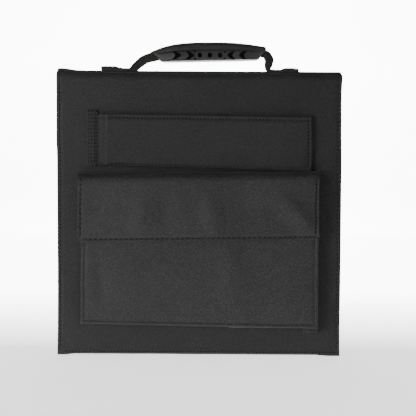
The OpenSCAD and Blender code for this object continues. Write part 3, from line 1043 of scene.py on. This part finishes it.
PROP_LOW, PROP_HIGH = node_mm("prop_sleeve")
ROOT_LOW, ROOT_HIGH = node_mm("prop_root_band")
PROP_HINGE = hinge_mm("prop_turn")
PROP_TOP, PROP_BOTTOM, PROP_END = PROP_HIGH.z + 0.6, PROP_LOW.z + 2.2, PROP_HIGH.x - 2.4
SEAM_TOP, SEAM_BOTTOM, SEAM_END = PROP_TOP - 4.0, PROP_BOTTOM + 2.4, PROP_END - 3.2
PROP_TAPER = 2.6
PROP_LIFT = 1.6
HINGE_CLOTH_T = 0.7
HINGE_CLOTH_LAP = 9.6
ROOT_SEAMS = (-109.2, -106.6, -103.4, -101.3)


def prop_along(x):
    """0 at the prop's hinge, 1 at its free end."""
    return (x - PROP_HINGE.x) / (PROP_HIGH.x - PROP_HINGE.x)


def prop_lift(x):
    """How far the prop stands off the case at x, towards its free end."""
    return PROP_LIFT * ease((prop_along(x) - 0.55) / 0.45)


def prop_drop(x):
    """How far the prop has sunk below level at x."""
    return math.tan(settings().prop_droop) * (x - PROP_HINGE.x)


def prop_leaf():
    """The prop's padded leaf: a stitched edge all round and a free end that stands off a little."""
    bm = block((PROP_HINGE.x + 0.4, PROP_LOW.y, PROP_BOTTOM), (PROP_END, PROP_HIGH.y, PROP_TOP), 1.2)
    seams = [(0, SEAM_END), (2, SEAM_TOP), (2, SEAM_BOTTOM)]
    cut_across(bm, 0, spaced(PROP_HINGE.x + 4, PROP_END - 7, 6))
    cut_across(bm, 2, spaced(PROP_BOTTOM + 6, PROP_TOP - 8, 6))
    for axis, place in seams:
        cut_across(bm, axis, [place + d for d in (-1.3, -0.7, 0, 0.7, 1.3)])
    for v in bm.verts:
        below_top = (PROP_TOP - v.co.z) / (PROP_TOP - PROP_BOTTOM)
        if v.co.y < (PROP_LOW.y + PROP_HIGH.y) / 2:
            v.co.y -= prop_lift(v.co.x) + 0.25 * wave(v.co.x, v.co.z, size=33, seed=5)
            seam = min(abs(v.co[axis] - place) for axis, place in seams)
            v.co.y += 0.55 * math.exp(-(seam / 0.7) ** 2)
        v.co.z -= prop_drop(v.co.x) + PROP_TAPER * prop_along(v.co.x) * below_top
    piece("prop_leaf", bm, "prop", cloth_finish(), ["prop_sleeve"])


def prop_root_tape():
    """Band that is sewn flat to the case at the prop's root."""
    bm = block((ROOT_LOW.x, ROOT_LOW.y - 0.1, ROOT_LOW.z - 0.2),
               (ROOT_HIGH.x + 0.4, ROOT_HIGH.y + 0.5, ROOT_HIGH.z), 0.6)
    cut_across(bm, 2, spaced(ROOT_LOW.z + 3, ROOT_HIGH.z - 3, 4))
    for v in bm.verts:
        v.co.y += 0.2 * wave(v.co.x, v.co.z, size=11, seed=7)
    piece("prop_root_tape", bm, "root", cloth_finish(), ["prop_root_band"])


def prop_hinge_cloth():
    """Cloth that bridges the band and the leaf."""
    bm = bmesh.new()
    bmesh.ops.create_grid(bm, x_segments=10, y_segments=12, size=1)
    first, last = ROOT_HIGH.x - 0.4, PROP_HINGE.x + HINGE_CLOTH_LAP
    tall = PROP_TOP - PROP_BOTTOM - 1.6
    for v in bm.verts:
        t = (v.co.x + 1) / 2
        x = first + (last - first) * t
        y = ROOT_LOW.y - 0.35 + (PROP_LOW.y - ROOT_LOW.y) * ease((t - 0.25) / 0.6)
        v.co = (x, y, PROP_BOTTOM + 0.8 + tall * (v.co.y + 1) / 2 - prop_drop(x))
    thicken(bm, HINGE_CLOTH_T)
    cloth = piece("prop_hinge_cloth", bm, None, cloth_finish())
    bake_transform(cloth)


def prop_sewing():
    """Stitches round the prop's edge and in columns down its root band."""

    def thread(x, z):
        return x, PROP_LOW.y + 0.35 - prop_lift(x), z - prop_drop(x)

    cuts = spaced(PROP_HINGE.x + 6, PROP_HIGH.x - 3, 26)
    rows = [(thread(x1, z), thread(x2, z)) for z in (SEAM_TOP, SEAM_BOTTOM) for x1, x2 in zip(cuts, cuts[1:])]
    rows.append((thread(SEAM_END, PROP_BOTTOM + 2), thread(SEAM_END, PROP_TOP - 5)))
    stitching("prop_stitching", rows, "prop")
    y = ROOT_LOW.y - 0.15
    foot, head = ROOT_LOW.z + 1.5, ROOT_HIGH.z - 1.5
    rows = [((x, y, foot), (x, y, head)) for x in ROOT_SEAMS]
    rows += [((ROOT_SEAMS[0], y, z), (ROOT_SEAMS[-1], y, z)) for z in (foot, head)]
    stitching("prop_root_stitching", rows, "root")


class SOLARCASE_OT_prop(bpy.types.Operator):
    """Prop leaf, its sewn root band and the cloth that joins them"""

    bl_idname = "solarcase.prop"
    bl_label = "Prop"

    def execute(self, context):
        prop_leaf()
        prop_root_tape()
        prop_hinge_cloth()
        dress("prop_stiffener", board_finish())
        for node in ("prop_hook_patch", "prop_loop_patch"):
            dress(node, pile_finish())
        prop_sewing()
        return {"FINISHED"}


# ---------------------------------------------------------------- handle

def strap_piece(name, route, depth, body, stands_for):
    """Webbing along stations of x, z, width and twist in degrees: a flat oval with crumpled sides."""
    lengths = [0.0]
    for a, b in zip(route, route[1:]):
        lengths.append(lengths[-1] + math.dist(a[:2], b[:2]))

    def place(ring, turn):
        a, b = route[max(ring - 1, 0)], route[min(ring + 1, len(route) - 1)]
        along = Vector((b[0] - a[0], 0, b[1] - a[1])).normalized()
        sideways = Vector((-along.z, 0, along.x))
        x, z, width, *twist = route[ring]
        c, s = math.cos(math.tau * turn), math.sin(math.tau * turn)
        edge = Vector((math.copysign(abs(c) ** 0.45, c) * width / 2,
                       math.copysign(abs(s) ** 0.7, s) * depth / 2))
        edge.rotate(Matrix.Rotation(math.radians(sum(twist)), 2))
        lump = 0.35 * wave(x, z + 9 * turn, size=3.2, seed=len(name))
        return Vector((x, STRIP_Y + edge.y, z)) + sideways * (edge.x + lump)

    bm = loft(lengths, 20, place)
    piece(name, bm, body, webbing_finish(), stands_for, sharp=70)


def smooth_route(stations, steps=4):
    """Adds stations between the given ones on a smooth curve."""
    made = []
    padded = [stations[0], *stations, stations[-1]]
    for four in zip(padded, padded[1:], padded[2:], padded[3:]):
        for t in [k / steps for k in range(steps)]:
            made.append(tuple(0.5 * (2 * b + (c - a) * t + (2 * a - 5 * b + 4 * c - d) * t * t
                                     + (3 * b - a - 3 * c + d) * t ** 3) for a, b, c, d in zip(*four)))
    made.append(stations[-1])
    return made


GRIP_CREST_X = 20.0
GRIP_LOW = ((-41.0, 291.2), (65.0, 293.9))
# half of the grip's section: share of its half depth and of its height, from the foot to the crest
GRIP_SECTION = ((0, 0), (0.55, 0), (0.82, 0.01), (0.95, 0.05), (1, 0.13), (1, 0.40), (0.985, 0.50),
                (0.90, 0.535), (0.875, 0.58), (0.87, 0.66), (0.83, 0.78), (0.72, 0.88), (0.52, 0.955),
                (0.28, 0.99), (0, 1))
MARK_Z = 297.0
MARK_DEPTH = 3.2
# each arrow of the grip: its middle x, its rise above the others, the way it points, its size
ARROWS = ((-22.6, 0, 1, 1.0), (-9.4, 0, 1, 0.95), (31.2, 0.4, -1, 0.85), (42.8, 0.6, -1, 0.85))
DOTS = (0.3, 10.2, 20.2)
SMALL_MARKS = (-4.6, 24.8)


def grip_drop(x):
    """How far the grip's crest has fallen at x: a long flat shoulder on the left, rounder on the right."""
    d = x - GRIP_CREST_X
    return 0.00206 * d * d if d > 0 else 0.00035 * d * d + 3.9e-7 * d ** 4


def on_section(turn):
    """Point of the grip's section at a turn from 0 to 1, its two halves mirrored."""
    t = 2 * min(turn, 1 - turn) * (len(GRIP_SECTION) - 1)
    i = min(int(t), len(GRIP_SECTION) - 2)
    (y1, z1), (y2, z2) = GRIP_SECTION[i], GRIP_SECTION[i + 1]
    y, z = y1 + (y2 - y1) * (t - i), z1 + (z2 - z1) * (t - i)
    return (y if turn < 0.5 else -y), z


def grip_section(x, low, high):
    """Top, bottom and half depth of the grip at x."""
    top = high.z - grip_drop(x)
    (x1, z1), (x2, z2) = GRIP_LOW
    bottom = z1 + (z2 - z1) * (x - x1) / (x2 - x1)
    bottom += 8.5 * ease((x1 + 4 - x) / 10) + 7.0 * ease((x - 57.5) / 6)
    depth = 0.62 + 0.38 * ease(min(x - low.x, high.x - x) / 30)
    return top, bottom, depth * (high.y - low.y) / 2


def chevron(x, z, side, size):
    """Bold arrow outline pointing along side, as X-Z points."""
    shape = ((-5.2, 4.3), (-0.6, 4.1), (3.6, 1.5), (4.6, 0), (3.6, -1.5), (-0.6, -4.1), (-5.2, -4.3),
             (-2.2, -1.7), (-1.4, 0), (-2.2, 1.7))
    points = [(x + side * size * dx, z + dz) for dx, dz in shape]
    return points if side > 0 else points[::-1]


def grip_marks():
    """Outlines of the hollows in the grip's cheeks: arrows that point to three round dots."""
    marks = [chevron(x, MARK_Z + rise, side, size) for x, rise, side, size in ARROWS]
    middle = MARK_Z + 0.3
    marks += [arc(x, middle, 2.3, 2.6, 0, 360, 16)[:-1] for x in DOTS]
    for x in SMALL_MARKS:
        for s in (1, -1):
            wide, tip = middle + s * 4.2, middle + s * 2.0
            marks.append([(x - 1.8, wide), (x + 1.8, wide), (x, tip)][::s])
    return marks


def cut_marks(grip):
    """Cuts the marks into both cheeks of the grip with one Boolean."""
    low, high = node_mm("handle_grip")
    bm = bmesh.new()
    outside = 4.0
    for outline in grip_marks():
        for side in (-1, 1):
            near = STRIP_Y + side * ((high.y - low.y) / 2 + outside)
            face = bm.faces.new([bm.verts.new((x, near, z)) for x, z in outline])
            draw_out(bm, [face], (0, -side * (outside + MARK_DEPTH), 0))
    face_out(bm)
    bmesh.ops.scale(bm, vec=(MM, MM, MM), verts=bm.verts[:])
    cutter = to_object("marks", bm)
    mesh = cutter.data
    # the cut faces take the near-black finish, painted shade in the hollows
    mesh.materials.append(recess_shade_finish())
    cut = grip.modifiers.new("marks", "BOOLEAN")
    cut.material_mode = "TRANSFER"
    cut.object = cutter
    cut.operation = "DIFFERENCE"
    cut.solver = "EXACT"
    shown = grip.evaluated_get(bpy.context.evaluated_depsgraph_get())
    done = bpy.data.meshes.new_from_object(shown)
    grip.modifiers.clear()
    old, grip.data = grip.data, done
    done.name = "handle_grip_rubber"
    bpy.data.meshes.remove(old)
    bpy.data.objects.remove(cutter)
    bpy.data.meshes.remove(mesh)


def grip():
    """Moulded rubber grip, lofted along X, with its marks cut in."""
    low, high = node_mm("handle_grip")
    inner = spaced(low.x + 2, high.x - 2, 2.4)
    stations = [low.x + 0.2, low.x + 0.8, *inner, high.x - 0.8, high.x - 0.2]
    ends = {0: 0.82, 1: 0.94, len(stations) - 2: 0.94, len(stations) - 1: 0.82}

    def place(ring, turn):
        top, bottom, half = grip_section(stations[ring], low, high)
        shrink = ends.get(ring, 1.0)
        y, z = on_section(turn)
        z = (top + bottom) / 2 + (z - 0.5) * (top - bottom) * shrink
        return Vector((stations[ring], STRIP_Y + y * half * shrink, z))

    bm = loft(stations, 4 * (len(GRIP_SECTION) - 1), place)
    made = piece("handle_grip_rubber", bm, None, rubber_finish(), ["handle_grip"], sharp=50)
    cut_marks(made)
    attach(made, "handle")


WEBBING_T = 5.4
# the webbing's stations between the case and the grip: x, z, width and twist in degrees
LEFT_WEBBING = ((-68.5, 281.8, 7.2, 0), (-66, 283.9, 7.8, 0), (-60, 289.7, 8.6, 8),
                (-53.5, 294.3, 9.0, 6), (-44.5, 296.6, 8.8, 0), (-38, 297.4, 7.8, 0))
RIGHT_WEBBING = ((59, 300.6, 7.4, 0), (64.4, 300.2, 8.2, 0), (67.8, 297.4, 8.8, 6),
                 (69.2, 293.2, 8.8, 20), (68.5, 289.4, 7.8, 32), (68.0, 285.8, 5.6, 20),
                 (69.2, 282.8, 4.8, 0), (70.6, 281.2, 5.0, 0))
# the tails' stations along the top fold: x from the tail's left end, height over its middle, width
TAILS = {"left": ((-0.8, 1.2, 4.0), (0, 1.3, 4.6), (8, 1.2, 4.6), (15, 1.1, 4.2), (19, 0.4, 3.4),
                  (24.2, 0.3, 2.8), (30.2, 0.6, 2.4)),
         "right": ((-2.4, 0.1, 1.8), (8.8, 0.1, 2.1), (11.3, 0.9, 3.4), (15.8, 0.7, 3.4), (23.8, 0.7, 3.4),
                   (26.4, 0.4, 2.8))}
# the box of stitches on each tail: its start and end from the tail's left end, and its height
TAIL_SEAMS = {"left": (1.5, 14, 3.6), "right": (12, 24.8, 2.6)}
TAIL_SEAM_Y = 2.6
TAIL_MIDDLE = 1.3


def webbing_tails():
    """Sewn-down ends of the webbing on the top fold, each with a crossed box of stitches."""
    rows = []
    for side, stations in TAILS.items():
        anchor = f"handle_anchor_{side}"
        low, high = node_mm(anchor)
        middle = low.z + TAIL_MIDDLE
        route = [(low.x + x, middle + up, width) for x, up, width in stations]
        strap_piece(f"webbing_tail_{side}", route, high.y - low.y + 1.5, "top_fold", [anchor])
        start, end, up = TAIL_SEAMS[side]
        for a, b in ((-1, -1), (1, 1), (-1, 1), (1, -1)):
            rows.append(((low.x + start, STRIP_Y + a * TAIL_SEAM_Y, middle + up),
                         (low.x + end, STRIP_Y + b * TAIL_SEAM_Y, middle + up)))
    stitching("tail_stitching", rows, "top_fold", (0, 0, 1))


class SOLARCASE_OT_handle(bpy.types.Operator):
    """Moulded grip, its webbing ends and their sewn tails"""

    bl_idname = "solarcase.handle"
    bl_label = "Handle"

    def execute(self, context):
        grip()
        for side, stations in (("left", LEFT_WEBBING), ("right", RIGHT_WEBBING)):
            strap_piece(f"handle_webbing_{side}", smooth_route(stations), WEBBING_T, "handle",
                        [f"handle_strap_{side}"])
        dress("handle_core", webbing_finish())
        webbing_tails()
        return {"FINISHED"}


# ---------------------------------------------------------------- controller

class SOLARCASE_OT_controller(bpy.types.Operator):
    """Finish of the charge controller that sits in the pocket"""

    bl_idname = "solarcase.controller"
    bl_label = "Controller"

    def execute(self, context):
        for node in ("controller_back", "controller_front", "controller_gland"):
            dress(node, plastic_finish())
        dress("controller_circuit", circuit_finish())
        dress("controller_screws", steel_finish())
        dress("controller_lamp", lens_finish())
        return {"FINISHED"}


# ---------------------------------------------------------------- sewing on the case

def hem_sewing():
    """Stitches up the side hems and along the lower hem of the front and the rear leaf."""
    y = FRONT_Y + 0.2
    rows = []
    for side in (-1, 1):
        hem = [(side * (HALF_W - HEM_SEAM + side_out(z, side < 0) * ease(1 - HEM_SEAM / HEM_REACH)), y, z)
               for z in spaced(6, 268, 12)]
        rows += list(zip(hem, hem[1:]))
    rows.append(((-HALF_W + 6, FRONT_Y - 0.05, 4), (HALF_W - 6, FRONT_Y - 0.05, 4)))
    stitching("front_hem_stitching", rows, "root")

    y = node_mm("rear_leaf_sleeve")[1].y - 0.2
    rows = [((x, y, 5), (x, y, 266)) for x in (-HALF_W + HEM_SEAM, HALF_W - HEM_SEAM)]
    for off, z in ((0.25, 4), (1.1, 271.5)):
        rows.append(((-HALF_W + 6, y + off, z), (HALF_W - 6, y + off, z)))
    stitching("rear_hem_stitching", rows, "rear_leaf", (0, 1, 0))


def window_sewing():
    """A line of stitches round the window of each leaf."""
    side = WINDOW_HALF + 2.5
    bottom, top = WINDOW_LOW - 2.5, WINDOW_HIGH + 2.0
    for name, (body, turned, _, _) in LEAVES.items():
        low, high = node_mm(f"{name}_leaf_sleeve")
        face = low.y if turned else high.y
        corners = [(-side, face, bottom), (side, face, bottom), (side, face, top), (-side, face, top)]
        rows = list(zip(corners, corners[1:] + corners[:1]))
        stitching(f"{name}_window_stitching", rows, body, (0, -1 if turned else 1, 0))


def pocket_sewing():
    """Stitches down the pocket's sides, along its foot and along its gusset."""
    bag_y = node_mm("pocket_body")[0].y
    left, right = POCKET_LEFT + BAG_INSET + BAG_SEAM, POCKET_RIGHT - BAG_SEAM
    under_lid = LID_LOW_LEFT + 1
    rows = [((x, bag_y + 0.85, 36), (x, bag_y + 0.85, under_lid)) for x in (left, right)]
    rows.append(((left - 2.6, bag_y + 0.5, 38), (left - 2.6, bag_y + 0.5, under_lid)))
    feet = [(x, bag_y + 0.95, across(x, POCKET_LOW_LEFT, POCKET_LOW_RIGHT) + BAG_SEAM) for x in (left, right)]
    rows.append(feet)
    stitching("pocket_stitching", rows, "root")


def lid_sewing():
    """Stitches down the lid's sides and along its hem, following its creases."""
    front = lid_path()[-1][0] - CLOTH_T / 2
    lines = []
    for x in (LID_SEAM_LEFT, LID_SEAM_RIGHT):
        foot = across(x, LID_LOW_LEFT, LID_LOW_RIGHT) + 4
        lines.append([(x, z) for z in spaced(foot, POCKET_ROOF_LEFT - 6, 10)])
    lines.append([(x, across(x, LID_LOW_LEFT, LID_LOW_RIGHT) + LID_SEAM_UP)
                  for x in spaced(LID_SEAM_LEFT, LID_SEAM_RIGHT, 10)])
    lines = [[(x, front - lid_fold(x, z), z) for x, z in line] for line in lines]
    rows = [pair for line in lines for pair in zip(line, line[1:])]
    stitching("lid_stitching", rows, "lid")


class SOLARCASE_OT_sewing(bpy.types.Operator):
    """Rows of stitches on the covers, the folds, the pocket and the lid"""

    bl_idname = "solarcase.sewing"
    bl_label = "Sewing"

    def execute(self, context):
        hem_sewing()
        window_sewing()
        pocket_sewing()
        lid_sewing()
        return {"FINISHED"}


# ---------------------------------------------------------------- panel and registration

PIECES = (SOLARCASE_OT_stage, SOLARCASE_OT_leaves, SOLARCASE_OT_folds, SOLARCASE_OT_pocket,
          SOLARCASE_OT_prop, SOLARCASE_OT_handle, SOLARCASE_OT_controller, SOLARCASE_OT_sewing)


class SOLARCASE_PT_panel(bpy.types.Panel):
    """Sizes, colours and pieces of the solar case"""

    bl_label = "Solar case"
    bl_idname = "SOLARCASE_PT_panel"
    bl_space_type = "VIEW_3D"
    bl_region_type = "UI"
    bl_category = "Solar case"

    def draw(self, context):
        column = self.layout.column()
        for key in CaseSettings.__annotations__:
            column.prop(context.scene.solar_case, key)
        for operator in PIECES:
            column.operator(operator.bl_idname)


CLASSES = (CaseSettings, *PIECES, SOLARCASE_PT_panel)


def register():
    """Adds the settings, the operators and the panel."""
    for item in CLASSES:
        bpy.utils.register_class(item)
    bpy.types.Scene.solar_case = PointerProperty(type=CaseSettings)


def unregister():
    """Takes them away again."""
    del bpy.types.Scene.solar_case
    for item in reversed(CLASSES):
        bpy.utils.unregister_class(item)


def main():
    """Builds every piece in order."""
    register()
    for name in ("stage", "leaves", "folds", "pocket", "prop", "handle", "controller", "sewing"):
        getattr(bpy.ops.solarcase, name)()


if __name__ == "__main__":
    main()
